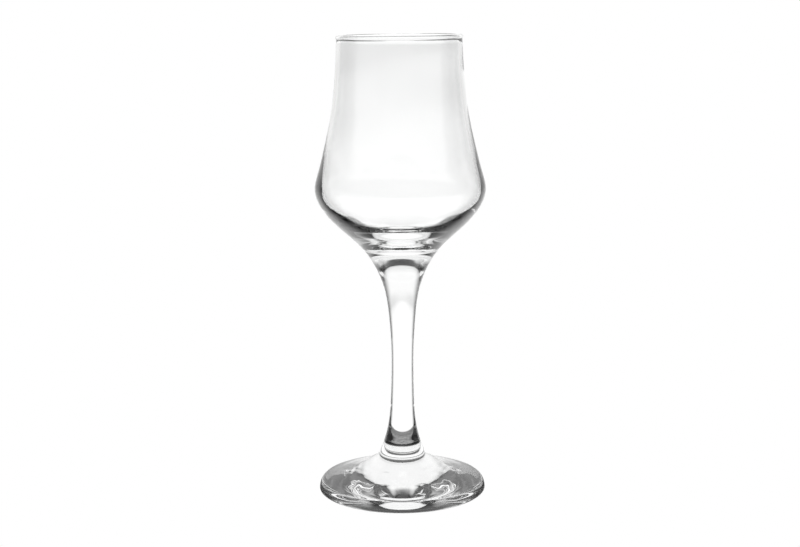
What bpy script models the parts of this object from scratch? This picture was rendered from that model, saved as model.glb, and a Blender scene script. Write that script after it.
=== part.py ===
"""Stemmed grappa glass: a blown bowl, a solid drawn stem and a pressed foot.

The three pieces of glass are turned about the Z axis and were fused end to end while hot. The outside of the
finished glass is one smooth outline, from the edge of the foot to the bead of the rim. Each piece is the part of
that outline between two weld planes, and the pieces stop a hair short of each weld so that they stay separate.

Metres, +Z up. The origin is the centre of the circle that the glass stands on.
"""

import math

import bpy
import numpy as np

MM = 0.001

# Driving dimensions
HEIGHT = 160.2 * MM
FOOT_RADIUS = 29.5 * MM
BELLY_RADIUS = 29.6 * MM
RIM_RADIUS = 21.1 * MM  # to the middle of the bead
WAIST_RADIUS = 3.9 * MM  # the slimmest part of the stem

# Welds
FOOT_WELD_HEIGHT = 14.0 * MM
BOWL_WELD_HEIGHT = 82.0 * MM
WELD_GAP = 0.3 * MM

# Foot
FOOT_WIDEST_HEIGHT = 0.6 * MM
FOOT_HEEL_WIDTH = 3.2 * MM  # of the rounding below the widest part
FOOT_SHOULDER_WIDTH = 2.0 * MM  # of the rounding above the widest part
FOOT_SHOULDER_TOP = 3.92 * MM
FOOT_SLOPE = math.radians(10.0)  # of the brim, where it leaves the shoulder
RESTING_RING_WIDTH = 2.2 * MM
UNDERSIDE_RISE = 0.2 * MM

# Rim
BEAD_RADIUS = 0.6 * MM
BEAD_START = math.radians(-35.0)
BEAD_END = math.radians(240.0)
WALL_LEAN = (-0.04, 1.0)  # the wall's direction where it meets the bead

# Stations on the outside of the glass, as (radius, height), between the foot's edge and the rim's bead
OUTSIDE = np.array(
    [
        (26.0 * MM, 4.2 * MM),
        (22.2 * MM, 5.3 * MM),
        (18.4 * MM, 6.45 * MM),
        (15.0 * MM, 8.1 * MM),
        (11.8 * MM, 10.0 * MM),
        (9.3 * MM, 12.0 * MM),
        (7.9 * MM, 14.2 * MM),
        (6.65 * MM, 17.0 * MM),
        (4.75 * MM, 25.0 * MM),
        (WAIST_RADIUS + 0.1 * MM, 36.0 * MM),
        (WAIST_RADIUS, 50.0 * MM),
        (4.65 * MM, 63.0 * MM),
        (6.25 * MM, 73.0 * MM),
        (8.95 * MM, 80.0 * MM),
        (13.55 * MM, 87.0 * MM),
        (21.95 * MM, 95.0 * MM),
        (27.8 * MM, 102.0 * MM),
        (BELLY_RADIUS, 107.5 * MM),
        (28.4 * MM, 113.5 * MM),
        (26.2 * MM, 122.0 * MM),
        (23.6 * MM, 134.0 * MM),
        (22.15 * MM, 147.0 * MM),
        (21.6 * MM, 156.0 * MM),
    ]
)

# Stations on the inside of the bowl, from the middle of its floor to the rim's bead
CAVITY = np.array(
    [
        (0.0, 88.6 * MM),
        (4.5 * MM, 88.6 * MM),
        (9.0 * MM, 90.0 * MM),
        (14.5 * MM, 93.6 * MM),
        (20.0 * MM, 97.0 * MM),
        (23.5 * MM, 100.0 * MM),
        (26.6 * MM, 104.0 * MM),
        (27.7 * MM, 107.6 * MM),
        (26.9 * MM, 113.1 * MM),
        (24.5 * MM, 121.7 * MM),
        (22.2 * MM, 133.8 * MM),
        (21.2 * MM, 146.9 * MM),
        (20.6 * MM, 156.0 * MM),
    ]
)

POINTS_PER_SPAN = 2
BEAD_POINTS = 9
HEEL_POINTS = 4
SHOULDER_POINTS = 7
UNDERSIDE_POINTS = 5
BOWL_SIDES = 48
STEM_SIDES = 32
FOOT_SIDES = 48
AXIS_MERGE = 0.01 * MM
GLASS_COLOUR = (0.96, 0.97, 0.97, 1.0)
GLASS_IOR = 1.52
GLASS_ROUGHNESS = 0.02


def arc(centre, width, height, start, end, count):
    """Points on an ellipse, from the start angle to the end angle, measured from straight out."""
    angles = np.linspace(start, end, count)
    return np.asarray(centre) + np.column_stack([width * np.cos(angles), height * np.sin(angles)])


def spline(stations, start_direction, end_direction, per_span):
    """Points on the cubic curve through the stations, which leaves and arrives along the two directions.

    The curve is measured by chord length, and its slope and curvature run on through every station.
    """
    chords = np.hypot(*np.diff(stations, axis=0).T)
    count = len(stations)
    system = np.zeros((count, count))
    target = np.zeros((count, 2))
    system[0, 0] = system[-1, -1] = 1.0
    target[0] = start_direction
    target[-1] = end_direction
    for i in range(1, count - 1):
        before, after = chords[i - 1], chords[i]
        system[i, i - 1 : i + 2] = after, 2.0 * (before + after), before
        rise = (stations[i + 1] - stations[i]) * before / after
        fall = (stations[i] - stations[i - 1]) * after / before
        target[i] = 3.0 * (rise + fall)
    slopes = np.linalg.solve(system, target)
    t = np.linspace(0.0, 1.0, per_span, endpoint=False)[:, None]
    spans = [
        (1 + 2 * t) * (1 - t) ** 2 * stations[i]
        + t * (1 - t) ** 2 * chords[i] * slopes[i]
        + t**2 * (3 - 2 * t) * stations[i + 1]
        + t**2 * (t - 1) * chords[i] * slopes[i + 1]
        for i in range(count - 1)
    ]
    return np.vstack([*spans, stations[-1:]])


def between(points, low, high):
    """The stretch of a climbing outline from one height to another, cut exactly at both."""
    inside = points[(points[:, 1] > low) & (points[:, 1] < high)]
    ends = [(np.interp(z, points[:, 1], points[:, 0]), z) for z in (low, high)]
    return np.vstack([ends[:1], inside, ends[1:]])


def rim_bead():
    """The fire-polished roll of glass round the mouth, from its outer side over the top to its inner side."""
    centre = (RIM_RADIUS, HEIGHT - BEAD_RADIUS)
    return arc(centre, BEAD_RADIUS, BEAD_RADIUS, BEAD_START, BEAD_END, BEAD_POINTS)


def foot_edge():
    """The edge of the foot: from the resting ring out to its widest, then up over the shoulder to the brim."""
    heel_centre = (FOOT_RADIUS - FOOT_HEEL_WIDTH, FOOT_WIDEST_HEIGHT)
    heel = arc(heel_centre, FOOT_HEEL_WIDTH, FOOT_WIDEST_HEIGHT, -math.pi / 2, 0.0, HEEL_POINTS)
    shoulder_centre = (FOOT_RADIUS - FOOT_SHOULDER_WIDTH, FOOT_WIDEST_HEIGHT)
    shoulder_height = FOOT_SHOULDER_TOP - FOOT_WIDEST_HEIGHT
    end = math.atan2(shoulder_height, FOOT_SHOULDER_WIDTH * math.tan(FOOT_SLOPE))
    shoulder = arc(shoulder_centre, FOOT_SHOULDER_WIDTH, shoulder_height, 0.0, end, SHOULDER_POINTS)
    return np.vstack([heel, shoulder[1:]])


def outside():
    """The outside of the whole glass, climbing from the shoulder of the foot to just below the rim's bead."""
    stations = np.vstack([foot_edge()[-1:], OUTSIDE])
    leave = (-math.cos(FOOT_SLOPE), math.sin(FOOT_SLOPE))
    return spline(stations, leave, WALL_LEAN, POINTS_PER_SPAN)


def cavity():
    """The inside of the bowl, climbing from the middle of its floor to just below the rim's bead."""
    return spline(CAVITY, (1.0, 0.0), WALL_LEAN, POINTS_PER_SPAN)


def underside():
    """The slight hollow under the foot, from the middle out to the resting ring, as a shallow bowl."""
    ring_inside = FOOT_RADIUS - FOOT_HEEL_WIDTH - RESTING_RING_WIDTH
    radii = np.linspace(0.0, ring_inside, UNDERSIDE_POINTS)
    return np.column_stack([radii, UNDERSIDE_RISE * (1.0 - (radii / ring_inside) ** 2)])


def clear_glass(name):
    """Colourless soda-lime glass, fire-polished all over."""
    material = bpy.data.materials.new(name)
    material.use_nodes = True
    shader = material.node_tree.nodes["Principled BSDF"]
    shader.inputs["Base Color"].default_value = GLASS_COLOUR
    shader.inputs["Roughness"].default_value = GLASS_ROUGHNESS
    shader.inputs["Metallic"].default_value = 0.0
    shader.inputs["IOR"].default_value = GLASS_IOR
    shader.inputs["Transmission Weight"].default_value = 1.0
    return material


def turned(name, profile, sides, collection):
    """A solid of revolution: the profile starts and ends on the axis and runs down its outer side."""
    mesh = bpy.data.meshes.new(name)
    vertices = [(radius, 0.0, height) for radius, height in profile]
    edges = [(i, i + 1) for i in range(len(vertices) - 1)]
    mesh.from_pydata(vertices, edges, [])
    mesh.materials.append(clear_glass(name + "_glass"))
    piece = bpy.data.objects.new(name, mesh)
    collection.objects.link(piece)
    screw = piece.modifiers.new("turn", "SCREW")
    screw.axis = "Z"
    screw.steps = sides
    screw.render_steps = sides
    screw.use_merge_vertices = True
    screw.merge_threshold = AXIS_MERGE
    screw.use_smooth_shade = True
    return piece


def make_bowl(collection):
    """The blown bowl: a solid base, a funnelled floor, a low belly, a drawn-in wall and a beaded rim."""
    wall = between(outside(), BOWL_WELD_HEIGHT + WELD_GAP / 2, OUTSIDE[-1, 1])
    weld_centre = [(0.0, BOWL_WELD_HEIGHT + WELD_GAP / 2)]
    profile = np.vstack([cavity(), rim_bead()[::-1], wall[::-1], weld_centre])
    return turned("bowl", profile, BOWL_SIDES, collection)


def make_stem(collection):
    """The solid stem: slim in the middle and flared at both ends to the size of its welds."""
    low = FOOT_WELD_HEIGHT + WELD_GAP / 2
    high = BOWL_WELD_HEIGHT - WELD_GAP / 2
    side = between(outside(), low, high)
    profile = np.vstack([[(0.0, high)], side[::-1], [(0.0, low)]])
    return turned("stem", profile, STEM_SIDES, collection)


def make_foot(collection):
    """The pressed foot: a cone up to the stem, a sloping brim, a round edge and a hardly hollow underside."""
    high = FOOT_WELD_HEIGHT - WELD_GAP / 2
    top = between(outside(), foot_edge()[-1, 1], high)
    profile = np.vstack([[(0.0, high)], top[::-1], foot_edge()[::-1][1:], underside()[::-1]])
    return turned("foot", profile, FOOT_SIDES, collection)


def main():
    for item in list(bpy.data.objects):
        bpy.data.objects.remove(item)
    collection = bpy.data.collections.new("grappa_glass")
    bpy.context.scene.collection.children.link(collection)
    make_bowl(collection)
    make_stem(collection)
    make_foot(collection)


main()
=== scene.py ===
"""A clear stemmed grappa glass on a pale table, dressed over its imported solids.

Every piece is a surface of revolution in metres, in the frame of the solids: the origin is the centre of the
circle that the glass stands on, +Z runs up its axis, and the photograph was taken from the -Y side.
"""

import math

import bpy
import numpy as np
from mathutils import Matrix


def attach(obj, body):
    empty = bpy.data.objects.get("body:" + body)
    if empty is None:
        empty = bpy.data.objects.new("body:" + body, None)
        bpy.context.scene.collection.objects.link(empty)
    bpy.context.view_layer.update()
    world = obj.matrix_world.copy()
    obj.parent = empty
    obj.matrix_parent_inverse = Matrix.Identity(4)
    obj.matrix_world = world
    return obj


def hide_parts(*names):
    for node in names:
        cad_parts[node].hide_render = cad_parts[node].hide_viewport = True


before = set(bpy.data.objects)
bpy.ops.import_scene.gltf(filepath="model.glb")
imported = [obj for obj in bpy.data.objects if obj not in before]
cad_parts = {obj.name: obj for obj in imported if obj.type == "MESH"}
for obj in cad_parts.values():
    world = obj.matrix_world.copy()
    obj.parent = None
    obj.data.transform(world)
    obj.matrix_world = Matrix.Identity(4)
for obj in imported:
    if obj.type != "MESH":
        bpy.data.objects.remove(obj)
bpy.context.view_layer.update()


# Bowl. Clear soda-lime glass blown in a mould: a solid base left from the gather, a funnelled floor, a low
# belly, and a wall that thins as it is drawn in. The mouth was cracked off and melted back into a small bead.
# The pieces were fused hot, so the outside of the whole glass is one outline, and each is a stretch of it.
MM = 0.001
HEIGHT = 160.3 * MM
BOWL_WELD = 82.0 * MM
WELD_SEAM = 0.004 * MM
RIM_RADIUS = 21.1 * MM
RIM_TILT = 0.12 * MM
TILT_START = 140.0 * MM
BEAD_HALF_WIDTH = 0.6 * MM
BEAD_HALF_HEIGHT = 0.72 * MM
BEAD_OUTSIDE = math.radians(-35.0)
BEAD_INSIDE = math.radians(233.0)
BEAD_FILLET = 0.4 * MM
WALL_LEAN = np.array((-0.04, 1.0))
FOOT_RADIUS = 29.5 * MM
FOOT_WIDEST_HEIGHT = 0.6 * MM
FOOT_HEEL_WIDTH = 3.2 * MM
FOOT_SHOULDER_WIDTH = 2.0 * MM
FOOT_SHOULDER_TOP = 3.92 * MM
FOOT_SLOPE = math.radians(10.0)
# Stations on the outside and in the cavity, as (radius, height), and how far the cavity lies off the axis
# at a few heights, as (x, y, height)
OUTSIDE = MM * np.array([
    (26.0, 4.2), (22.2, 5.3), (18.4, 6.55), (15.0, 8.2), (11.8, 10.25), (9.0, 12.0), (8.2, 12.75),
    (7.85, 13.5), (7.5, 14.6), (6.65, 17.0), (4.75, 25.0), (4.0, 36.0), (3.9, 50.0), (4.65, 63.0),
    (6.25, 73.0), (8.95, 80.0), (13.55, 87.0), (21.95, 95.0), (27.8, 102.0), (29.6, 107.5), (28.4, 113.5),
    (26.2, 122.0), (23.6, 134.0), (22.15, 147.0), (21.6, 156.0),
])
CAVITY = MM * np.array([
    (0.0, 90.4), (4.3, 90.1), (7.2, 89.6), (9.8, 90.55), (14.5, 94.0), (20.0, 97.0), (23.5, 99.9),
    (26.6, 104.0), (27.7, 107.6), (26.9, 113.1), (24.9, 121.7), (22.4, 133.8), (21.05, 146.9), (20.6, 156.0),
])
CAVITY_ASIDE = MM * np.array([
    (-0.05, -1.4, 85.0), (0.15, -0.8, 107.0), (-0.1, -0.6, 113.0), (-0.3, -0.2, 122.0),
    (-0.15, 0.0, 135.0), (-0.2, 0.0, 147.0), (0.0, 0.0, 160.0),
])
STEM_BOW = 0.4 * MM
BOW_TOP = 110.0 * MM
BOWL_SIDES = 192
POINTS_PER_SPAN = 10
BEAD_POINTS = 25
FILLET_POINTS = 6
HEEL_POINTS = 17
SHOULDER_POINTS = 25
STREAK_SIZE = (4.0 * MM, 4.0 * MM, 60.0 * MM)
STREAK_HEIGHT = 0.006 * MM
WAVE_DETAIL = 1.0
HAZE_SIZE = 18.0 * MM
HAZE_DETAIL = 2.0
HAZE_CONTRAST = 4.0
HAZE_ROUGHNESS = 0.015
CLEAR_COLOUR = (1.0, 1.0, 1.0, 1.0)
CORD_COLOUR = (0.985, 0.99, 0.988, 1.0)
GLASS_IOR = 1.52
# The sockets of a Mix node that blend colours, by their places
MIX_SHARE = 0
MIX_FIRST_COLOUR = 6
MIX_SECOND_COLOUR = 7
MIX_RESULT_COLOUR = 2


class Socket:
    """A shader value: arithmetic on it adds Math nodes, and add() adds any other node to the same tree."""

    def __init__(self, tree, output):
        self.tree = tree
        self.output = output

    def add(self, kind, settings, sockets, output=0):
        """Adds a node of a kind: its settings are set first, then its sockets get their values or links."""
        node = self.tree.nodes.new(kind)
        for name, value in settings.items():
            setattr(node, name, value)
        for name, value in sockets.items():
            if isinstance(value, Socket):
                self.tree.links.new(value.output, node.inputs[name])
            else:
                node.inputs[name].default_value = value
        if node.outputs:
            return Socket(self.tree, node.outputs[output])

    def maths(self, operation, *values):
        """Adds one Math node, whose sockets take the values in turn."""
        return self.add("ShaderNodeMath", {"operation": operation}, dict(enumerate(values)))

    def __add__(self, other):
        return self.maths("ADD", self, other)

    __radd__ = __add__

    def __sub__(self, other):
        return self.maths("SUBTRACT", self, other)

    def __rsub__(self, other):
        return self.maths("SUBTRACT", other, self)

    def __mul__(self, other):
        return self.maths("MULTIPLY", self, other)

    __rmul__ = __mul__

    def __truediv__(self, other):
        return self.maths("DIVIDE", self, other)

    def __pow__(self, other):
        return self.maths("POWER", self, other)


def smooth_curve(stations, leave, arrive, per_span):
    """The cubic by chord length through the stations, whose slope and curvature run on through each of them.

    Its slopes s solve: after s[i-1] + 2 (before + after) s[i] + before s[i+1] = 3 (before times the next
    chord's rate + after times the last chord's rate), where before and after are the two chords' lengths.
    """
    chord = np.linalg.norm(np.diff(stations, axis=0), axis=1)[:, None]
    rate = np.diff(stations, axis=0) / chord
    inner = np.arange(1, len(stations) - 1)
    before, after = chord[:-1, 0], chord[1:, 0]
    system = np.eye(len(stations))
    system[inner, inner - 1] = after
    system[inner, inner] = 2.0 * (before + after)
    system[inner, inner + 1] = before
    known = 3.0 * (rate[1:] * before[:, None] + rate[:-1] * after[:, None])
    slope = np.linalg.solve(system, np.vstack([leave, known, arrive]))
    t = np.linspace(0.0, 1.0, per_span, endpoint=False)[None, :, None]
    start, end = stations[:-1, None], stations[1:, None]
    lead, tail = (chord * slope[:-1])[:, None], (chord * slope[1:])[:, None]
    spans = (1 + 2 * t) * (1 - t) ** 2 * start + t * (1 - t) ** 2 * lead
    spans = spans + t**2 * (3 - 2 * t) * end + t**2 * (t - 1) * tail
    return np.vstack([spans.reshape(-1, stations.shape[1]), stations[-1:]])


def arc(centre, width, height, start, end, count):
    """Points on an ellipse between two angles from straight out: centre + (width cos, height sin)."""
    angle = np.linspace(start, end, count)
    return np.asarray(centre) + np.column_stack([width * np.cos(angle), height * np.sin(angle)])


def stretch(curve, low, high):
    """The part of a climbing curve between two heights, cut exactly at both.

    A second point just inside each cut keeps the shading of the side true right up to the flat end.
    """
    inside = curve[(curve[:, 1] > low + WELD_SEAM) & (curve[:, 1] < high - WELD_SEAM)]
    ends = np.array([low, low + WELD_SEAM, high - WELD_SEAM, high])
    cut = np.column_stack([np.interp(ends, curve[:, 1], curve[:, 0]), ends])
    return np.vstack([cut[:2], inside, cut[2:]])


def onto_bead(wall, bead_point, bead_direction):
    """Carries a wall straight on to just under the bead, then by a short cubic fillet onto the bead."""
    height = bead_point[1] - BEAD_FILLET - wall[-1, 1]
    below = wall[-1] + WALL_LEAN * height
    fillet = smooth_curve(np.vstack([below, bead_point]), WALL_LEAN, bead_direction, FILLET_POINTS)
    return np.vstack([wall, (wall[-1] + below) / 2, fillet[:-1]])


def along_bead(angle):
    """The unit direction round the bead at an angle from straight out, turning inwards over its top."""
    direction = np.array((-BEAD_HALF_WIDTH * math.sin(angle), BEAD_HALF_HEIGHT * math.cos(angle)))
    return direction / np.hypot(*direction)


def bowed(points):
    """Bends the axis sideways by STEM_BOW times the square of sin(pi z / BOW_TOP), up to BOW_TOP."""
    turn = np.pi * np.clip(points[..., 2], 0.0, BOW_TOP) / BOW_TOP
    still = np.zeros_like(turn)
    return points + np.stack([STEM_BOW * np.sin(turn) ** 2, still, still], axis=-1)


def turned(name, profile, sides, shaped, welds):
    """Surface of revolution: row i of its grid is the profile's point i, column j the angle 2 pi j / sides.

    shaped then moves the grid's points off true, given each one's row. The first and the last point lie on
    the axis and close the surface. The profile's spans that welds lists are the piece's flat, fused ends.
    """
    angle = np.linspace(0.0, 2.0 * np.pi, sides, endpoint=False)
    radius = profile[1:-1, 0][:, None]
    height = np.repeat(profile[1:-1, 1][:, None], sides, axis=1)
    row = np.repeat(np.arange(1, len(profile) - 1)[:, None], sides, axis=1)
    grid = shaped(np.stack([radius * np.cos(angle), radius * np.sin(angle), height], axis=-1), row)
    poles = np.column_stack([np.zeros((2, 2)), profile[[0, -1], 1]])
    poles = shaped(poles, np.array([0, len(profile) - 1]))
    rows = len(grid)
    index = np.arange(rows * sides).reshape(rows, sides)
    right = np.roll(index, -1, axis=1)
    quads = np.stack([index[:-1], index[1:], right[1:], right[:-1]], axis=-1).reshape(-1, 4)
    first = np.stack([np.full(sides, rows * sides), index[0], right[0]], axis=-1)
    last = np.stack([np.full(sides, rows * sides + 1), right[-1], index[-1]], axis=-1)
    mesh = bpy.data.meshes.new(name)
    faces = quads.tolist() + first.tolist() + last.tolist()
    mesh.from_pydata(np.vstack([grid.reshape(-1, 3), poles]).tolist(), [], faces)
    span = np.concatenate([np.repeat(np.arange(1, rows), sides), np.zeros(sides, int), np.full(sides, rows)])
    fused = np.isin(span, welds)
    mesh.polygons.foreach_set("material_index", fused.astype(np.int32))
    mesh.polygons.foreach_set("use_smooth", ~fused)
    mesh.update()
    piece = bpy.data.objects.new(name, mesh)
    bpy.context.scene.collection.objects.link(piece)
    return piece


def clear_glass(name, wave_size, wave_height):
    """Polished colourless glass: wave_size stretches the faint waves of its skin along X, Y and Z.

    The waves are a soft noise that feeds a bump. A second, wider noise gives the faint haze of handling and
    the slightly greyer cords that are left in the melt.
    """
    material = bpy.data.materials.new(name)
    material.use_nodes = True
    tree = material.node_tree
    shader = tree.nodes["Principled BSDF"]
    shader.inputs["IOR"].default_value = GLASS_IOR
    shader.inputs["Transmission Weight"].default_value = 1.0
    place = Socket(tree, tree.nodes.new("ShaderNodeTexCoord").outputs["Object"])
    stretched = place.add("ShaderNodeMapping", {}, {"Vector": place, "Scale": 1.0 / np.array(wave_size)})
    wave = place.add("ShaderNodeTexNoise", {}, {"Vector": stretched, "Scale": 1.0, "Detail": WAVE_DETAIL})
    skin = place.add("ShaderNodeBump", {}, {"Height": wave, "Strength": 1.0, "Distance": wave_height})
    patches = {"Vector": place, "Scale": 1.0 / HAZE_SIZE, "Detail": HAZE_DETAIL}
    haze = place.add("ShaderNodeTexNoise", {}, patches)
    tints = {MIX_SHARE: haze, MIX_FIRST_COLOUR: CLEAR_COLOUR, MIX_SECOND_COLOUR: CORD_COLOUR}
    colour = place.add("ShaderNodeMix", {"data_type": "RGBA"}, tints, MIX_RESULT_COLOUR)
    tree.links.new(colour.output, shader.inputs["Base Color"])
    tree.links.new((haze**HAZE_CONTRAST * HAZE_ROUGHNESS).output, shader.inputs["Roughness"])
    tree.links.new(skin.output, shader.inputs["Normal"])
    return material


def fused_glass():
    """The inside of a weld, where the glass runs on without a surface: light passes straight through."""
    material = bpy.data.materials.new("fused_weld")
    material.use_nodes = True
    tree = material.node_tree
    tree.nodes.clear()
    through = Socket(tree, tree.nodes.new("ShaderNodeBsdfTransparent").outputs[0])
    through.add("ShaderNodeOutputMaterial", {}, {"Surface": through})
    return material


def out_of_true(points, row):
    """Bows the points, moves the cavity's rows off the axis along CAVITY_ASIDE, and tips the mouth.

    The tip lifts a point by RIM_TILT x / RIM_RADIUS, times the square of its way up from TILT_START to the
    rim.
    """
    straight_up = (0.0, 0.0, 1.0)
    aside = smooth_curve(CAVITY_ASIDE, straight_up, straight_up, POINTS_PER_SPAN)
    in_cavity = np.where(row < cavity_rows, 1.0, 0.0)
    aside_x = in_cavity * np.interp(points[..., 2], aside[:, 2], aside[:, 0])
    aside_y = in_cavity * np.interp(points[..., 2], aside[:, 2], aside[:, 1])
    way_up = np.clip((points[..., 2] - TILT_START) / (HEIGHT - TILT_START), 0.0, 1.0)
    lift = RIM_TILT * points[..., 0] / RIM_RADIUS * way_up**2
    return bowed(points) + np.stack([aside_x, aside_y, lift], axis=-1)


def edge_of_foot():
    """The heel, out from the resting ring to the widest part, then the shoulder, up to the brim's slope."""
    heel_centre = (FOOT_RADIUS - FOOT_HEEL_WIDTH, FOOT_WIDEST_HEIGHT)
    heel = arc(heel_centre, FOOT_HEEL_WIDTH, FOOT_WIDEST_HEIGHT, -math.pi / 2, 0.0, HEEL_POINTS)
    shoulder_centre = (FOOT_RADIUS - FOOT_SHOULDER_WIDTH, FOOT_WIDEST_HEIGHT)
    shoulder_height = FOOT_SHOULDER_TOP - FOOT_WIDEST_HEIGHT
    end = math.atan2(shoulder_height, FOOT_SHOULDER_WIDTH * math.tan(FOOT_SLOPE))
    shoulder = arc(shoulder_centre, FOOT_SHOULDER_WIDTH, shoulder_height, 0.0, end, SHOULDER_POINTS)
    return np.vstack([heel, shoulder[1:]])


bead_centre = (RIM_RADIUS, HEIGHT - BEAD_HALF_HEIGHT)
bead = arc(bead_centre, BEAD_HALF_WIDTH, BEAD_HALF_HEIGHT, BEAD_OUTSIDE, BEAD_INSIDE, BEAD_POINTS)
outer_bead_direction = along_bead(BEAD_OUTSIDE)
inner_bead_direction = -along_bead(BEAD_INSIDE)
foot_edge = edge_of_foot()
brim_direction = (-math.cos(FOOT_SLOPE), math.sin(FOOT_SLOPE))
outside = smooth_curve(np.vstack([foot_edge[-1:], OUTSIDE]), brim_direction, WALL_LEAN, POINTS_PER_SPAN)
cavity = smooth_curve(CAVITY, (1.0, 0.0), WALL_LEAN, POINTS_PER_SPAN)
cavity = onto_bead(cavity, bead[-1], inner_bead_direction)
cavity_rows = len(cavity)
bowl_wall = stretch(outside, BOWL_WELD + WELD_SEAM, outside[-1, 1])
bowl_wall = onto_bead(bowl_wall, bead[0], outer_bead_direction)
bowl_profile = np.vstack([cavity, bead[::-1], bowl_wall[::-1], [(0.0, BOWL_WELD + WELD_SEAM)]])
weld_inside = fused_glass()
bowl = turned("blown_bowl", bowl_profile, BOWL_SIDES, out_of_true, [len(bowl_profile) - 2])
bowl.data.materials.append(clear_glass("blown_glass", STREAK_SIZE, STREAK_HEIGHT))
bowl.data.materials.append(weld_inside)
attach(bowl, "root")
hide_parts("bowl")


# Stem. A solid rod of the same glass, drawn out hot so that it is slimmest near the middle and flares into
# both welds. It cooled with a slight bow. It is fused to the bowl's base above and to the foot's cone below.
FOOT_WELD = 14.0 * MM
STEM_SIDES = 128
DRAW_SIZE = (2.5 * MM, 2.5 * MM, 40.0 * MM)
DRAW_HEIGHT = 0.003 * MM


def with_bow(points, row):
    """Bows every row alike."""
    return bowed(points)


stem_side = stretch(outside, FOOT_WELD + WELD_SEAM, BOWL_WELD - WELD_SEAM)
stem_ends = np.array([(0.0, FOOT_WELD + WELD_SEAM), (0.0, BOWL_WELD - WELD_SEAM)])
stem_profile = np.vstack([stem_ends[1:], stem_side[::-1], stem_ends[:1]])
stem = turned("drawn_stem", stem_profile, STEM_SIDES, with_bow, [0, len(stem_profile) - 2])
stem.data.materials.append(clear_glass("drawn_glass", DRAW_SIZE, DRAW_HEIGHT))
stem.data.materials.append(weld_inside)
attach(stem, "root")
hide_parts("stem")


# Foot. A gather of the same glass pressed out against a plate: a cone up to the stem, a gently sloping brim,
# a round edge, a narrow ring to stand on, and a hardly hollow underside with chill marks left by the plate.
RING_WIDTH = 2.2 * MM
UNDERSIDE_RISE = 0.2 * MM
FOOT_SIDES = 256
UNDERSIDE_ROWS = 48
CHILL_SIZE = (9.0 * MM, 9.0 * MM, 9.0 * MM)
CHILL_HEIGHT = 0.004 * MM
MARK_DEPTH = 0.08 * MM
MARK_EDGE_POWER = 4.0
MARK_LENGTHS = MM * np.array([6.0, 5.0, 4.2, 3.5, 3.0])
MARK_BEARINGS = np.radians([20.0, 75.0, 130.0, 50.0, 165.0])
MARK_PHASES = np.radians([0.0, 40.0, 100.0, 200.0, 300.0])


def with_chill_marks(points, row):
    """Bows the points, and dents the underside's rows by the mean of a few waves that cross it.

    Each wave is MARK_DEPTH cos(2 pi d / length + phase), where d is the distance along its own bearing. The
    dents fade out towards the ring, and towards the line from front to back by the square of x / radius.
    """
    along = points[..., :1] * np.cos(MARK_BEARINGS) + points[..., 1:2] * np.sin(MARK_BEARINGS)
    wave = MARK_DEPTH * np.cos(2.0 * np.pi * along / MARK_LENGTHS + MARK_PHASES).mean(axis=-1)
    out = np.hypot(points[..., 0], points[..., 1])
    sideways = (points[..., 0] / np.maximum(out, WELD_SEAM)) ** 2
    inside = np.clip(1.0 - (out / ring_inside) ** MARK_EDGE_POWER, 0.0, 1.0)
    dent = np.where(row >= underside_row, wave * sideways * inside, 0.0)
    still = np.zeros_like(dent)
    return bowed(points) + np.stack([still, still, dent], axis=-1)


ring_inside = FOOT_RADIUS - FOOT_HEEL_WIDTH - RING_WIDTH
underside_radius = np.linspace(0.0, ring_inside, UNDERSIDE_ROWS)
underside_height = UNDERSIDE_RISE * (1.0 - (underside_radius / ring_inside) ** 2)
underside = np.column_stack([underside_radius, underside_height])
foot_top = stretch(outside, foot_edge[-1, 1], FOOT_WELD - WELD_SEAM)
foot_weld_middle = [(0.0, FOOT_WELD - WELD_SEAM)]
foot_profile = np.vstack([foot_weld_middle, foot_top[::-1], foot_edge[::-1][1:], underside[::-1]])
underside_row = len(foot_profile) - UNDERSIDE_ROWS
foot = turned("pressed_foot", foot_profile, FOOT_SIDES, with_chill_marks, [0])
foot.data.materials.append(clear_glass("pressed_glass", CHILL_SIZE, CHILL_HEIGHT))
foot.data.materials.append(weld_inside)
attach(foot, "root")
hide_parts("foot")


# Camera. It stands about half a metre in front of the glass and a little above the rim, looks slightly down,
# and is turned a fraction of a degree about its own axis, as the photograph's camera was.
CAMERA_BACK = 508.2 * MM
CAMERA_UP = 171.5 * MM
CAMERA_ASIDE = -0.3 * MM
CAMERA_PITCH = math.radians(10.44)
CAMERA_ROLL = math.radians(-0.4)
SENSOR_WIDTH = 36.0
LENS = 66.47
NEAREST_SEEN = 10.0 * MM
eye = bpy.data.cameras.new("camera")
eye.sensor_width = SENSOR_WIDTH
eye.lens = LENS
eye.clip_start = NEAREST_SEEN
camera = bpy.data.objects.new("camera", eye)
bpy.context.scene.collection.objects.link(camera)
camera.matrix_world = (
    Matrix.Translation((CAMERA_ASIDE, -CAMERA_BACK, CAMERA_UP))
    @ Matrix.Rotation(math.pi / 2 - CAMERA_PITCH, 4, "X")
    @ Matrix.Rotation(CAMERA_ROLL, 4, "Z")
)
bpy.context.scene.camera = camera


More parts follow.
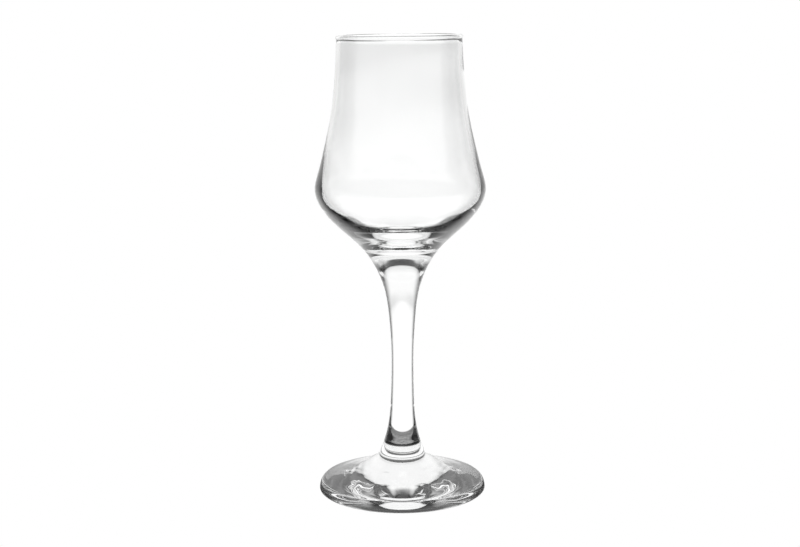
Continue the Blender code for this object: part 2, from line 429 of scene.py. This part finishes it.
# Table and studio. A plain white table and surround are all that the camera sees behind the glass, as in the
# cut-out photograph. What the glass bends and mirrors is a glow on the table and up a wall behind it, which
# fades out to both sides and upwards, so that clear glass is bright in the middle and dark along its edges.
# The near table also glows from the sides round to the front, so that the bowl looks clear from behind too.
TABLE_LEVEL = -0.2 * MM
STUDIO_RADIUS = 5.0
WHITE = (1.0, 1.0, 1.0, 1.0)
NEAR_GLOW = 1.1
FAR_GLOW = 0.76
MIDDLE_GLOW = 0.12
LIFT_GLOW = 0.2
LIFT_DISTANCE = 4.0
FAR_DISTANCE = 2.0
TABLE_DIM = 0.05
FRONT_GLOW = 0.9
FRONT_NEAREST = 50.0 * MM
FRONT_NEAREST_FADE = 15.0 * MM
FRONT_FARTHEST = 1.5
FRONT_FARTHEST_FADE = 0.75
FRONT_START = math.radians(87.0)
FRONT_START_FADE = math.radians(8.0)
PAINTED_SHADE_FRONT_GLOW = 0.02
PAINTED_SHADE_BACK_GLOW = 0.15
PAINTED_SHADE_RADIUS = 29.0 * MM
PAINTED_SHADE_EDGE_FADE = 1.0 * MM
PAINTED_SHADE_MIDDLE = 12.0 * MM
PAINTED_SHADE_MIDDLE_FADE = 9.0 * MM
WALL_GLOW = 1.03
WALL_DIM = 0.05
NEAR_HALF_WIDTH = math.radians(50.0)
NEAR_SIDE_FADE = math.radians(14.0)
FAR_HALF_WIDTH = math.radians(50.0)
FAR_SIDE_FADE = math.radians(15.0)
MIDDLE_HALF_WIDTH = math.radians(15.0)
WALL_HALF_WIDTH = math.radians(47.0)
WALL_SIDE_FADE = math.radians(22.0)
WALL_FOOT = math.radians(4.0)
GLOW_TOP = math.radians(55.0)
GLOW_TOP_FADE = math.radians(5.0)
DOME_ROWS = 25
DOME_COLUMNS = 97
BOUNCES = 24


def fading(value, edge, fade):
    """1 below the edge less the fade, 0 above the edge plus the fade, and a smooth step between them."""
    limits = {"From Min": edge - fade, "From Max": edge + fade, "To Min": 1.0, "To Max": 0.0}
    return value.add("ShaderNodeMapRange", {"interpolation_type": "SMOOTHSTEP"}, {"Value": value, **limits})


def bearing(x, y):
    """The angle from straight behind the glass, seen from above, to either side: half a turn is in front."""
    return x.maths("ARCTAN2", x.maths("ABSOLUTE", x), y)


def from_behind(x, y, half_width, fade):
    """1 straight behind the glass and 0 well out to either side."""
    return fading(bearing(x, y), half_width, fade)


def blend(first, second, share):
    """The first glow where the share is 0, the second where it is 1, and a mix of both between."""
    return first + (second - first) * share


def far_glow(x, y):
    """The far table and the foot of the wall: brightest straight behind the glass, lower out to the sides."""
    sides = FAR_GLOW * from_behind(x, y, FAR_HALF_WIDTH, FAR_SIDE_FADE)
    return TABLE_DIM + sides + MIDDLE_GLOW * from_behind(x, y, MIDDLE_HALF_WIDTH, MIDDLE_HALF_WIDTH)


def table_glow(x, y, z):
    """The table's glow by distance and bearing.

    It is bright behind the glass and, a little way off the foot, from the sides round to the front.
    Under the foot it holds a painted shadow, a darker disc that is deepest at the front.
    """
    out = (x**2.0 + y**2.0) ** 0.5
    near_glow = TABLE_DIM + NEAR_GLOW * from_behind(x, y, NEAR_HALF_WIDTH, NEAR_SIDE_FADE)
    lift = LIFT_GLOW * from_behind(x, y, MIDDLE_HALF_WIDTH, MIDDLE_HALF_WIDTH)
    far = far_glow(x, y) + lift * fading(out, LIFT_DISTANCE / 2, LIFT_DISTANCE / 2)
    glow = blend(far, near_glow, fading(out, FAR_DISTANCE / 2, FAR_DISTANCE / 2))
    front = FRONT_GLOW * (1.0 - fading(bearing(x, y), FRONT_START, FRONT_START_FADE))
    front = front * (1.0 - fading(out, FRONT_NEAREST, FRONT_NEAREST_FADE))
    glow = glow + front * fading(out, FRONT_FARTHEST, FRONT_FARTHEST_FADE)
    # Painted shadow: the light sheet is set darker in a disc under the foot, darkest at the front, to stand
    # in for the foot's shade.
    shade = blend(PAINTED_SHADE_BACK_GLOW, PAINTED_SHADE_FRONT_GLOW, fading(y, PAINTED_SHADE_MIDDLE, PAINTED_SHADE_MIDDLE_FADE))
    return blend(glow, shade, fading(out, PAINTED_SHADE_RADIUS, PAINTED_SHADE_EDGE_FADE))


def wall_glow(x, y, z):
    """The wall's glow by bearing and by height, which at its foot is that of the far table."""
    climb = z.maths("ARCSINE", z / STUDIO_RADIUS)
    wide = from_behind(x, y, WALL_HALF_WIDTH, WALL_SIDE_FADE)
    high = WALL_DIM + (WALL_GLOW - WALL_DIM) * wide * fading(climb, GLOW_TOP, GLOW_TOP_FADE)
    return blend(high, far_glow(x, y), fading(climb, WALL_FOOT, WALL_FOOT))


def paper_white(x, y, z):
    """The same white everywhere."""
    return WHITE


def studio_sheet(name, points, glow, for_camera):
    """A glowing sheet over a grid of points: glow gives its strength at each place along X, Y and Z.

    One made for the camera is its background only. The others light the glass and don't show behind it.
    """
    material = bpy.data.materials.new(name)
    material.use_nodes = True
    material.cycles.emission_sampling = "NONE"
    tree = material.node_tree
    tree.nodes.clear()
    place = Socket(tree, tree.nodes.new("ShaderNodeTexCoord").outputs["Object"])
    along = [place.add("ShaderNodeSeparateXYZ", {}, {"Vector": place}, axis) for axis in "XYZ"]
    light = place.add("ShaderNodeEmission", {}, {"Color": glow(*along)})
    light.add("ShaderNodeOutputMaterial", {}, {"Surface": light})
    rows, columns = points.shape[:2]
    index = np.arange(rows * columns).reshape(rows, columns)
    quads = np.stack([index[:-1, :-1], index[1:, :-1], index[1:, 1:], index[:-1, 1:]], axis=-1).reshape(-1, 4)
    mesh = bpy.data.meshes.new(name)
    mesh.from_pydata(points.reshape(-1, 3).tolist(), [], quads.tolist())
    mesh.materials.append(material)
    sheet = bpy.data.objects.new(name, mesh)
    bpy.context.scene.collection.objects.link(sheet)
    sheet.visible_camera = for_camera
    sheet.visible_diffuse = not for_camera
    sheet.visible_glossy = not for_camera
    sheet.visible_transmission = not for_camera


table_edges = [-STUDIO_RADIUS, STUDIO_RADIUS]
sheet_x, sheet_y = np.meshgrid(table_edges, table_edges, indexing="ij")
flat = np.stack([sheet_x, sheet_y, np.full_like(sheet_x, TABLE_LEVEL)], axis=-1)
dome_climbs = np.linspace(0.0, np.pi / 2, DOME_ROWS)
dome_turns = np.linspace(0.0, 2.0 * np.pi, DOME_COLUMNS)
climb, turn = np.meshgrid(dome_climbs, dome_turns, indexing="ij")
level = np.cos(climb)
dome = STUDIO_RADIUS * np.stack([level * np.sin(turn), level * np.cos(turn), np.sin(climb)], axis=-1)
studio_sheet("table", flat, paper_white, True)
studio_sheet("surround", dome, paper_white, True)
studio_sheet("table_light", flat, table_glow, False)
studio_sheet("wall_light", dome, wall_glow, False)

scene = bpy.context.scene
scene.view_settings.view_transform = "Standard"
scene.cycles.max_bounces = BOUNCES
scene.cycles.transmission_bounces = BOUNCES
scene.cycles.glossy_bounces = BOUNCES
scene.cycles.transparent_max_bounces = BOUNCES
scene.cycles.blur_glossy = 0.0
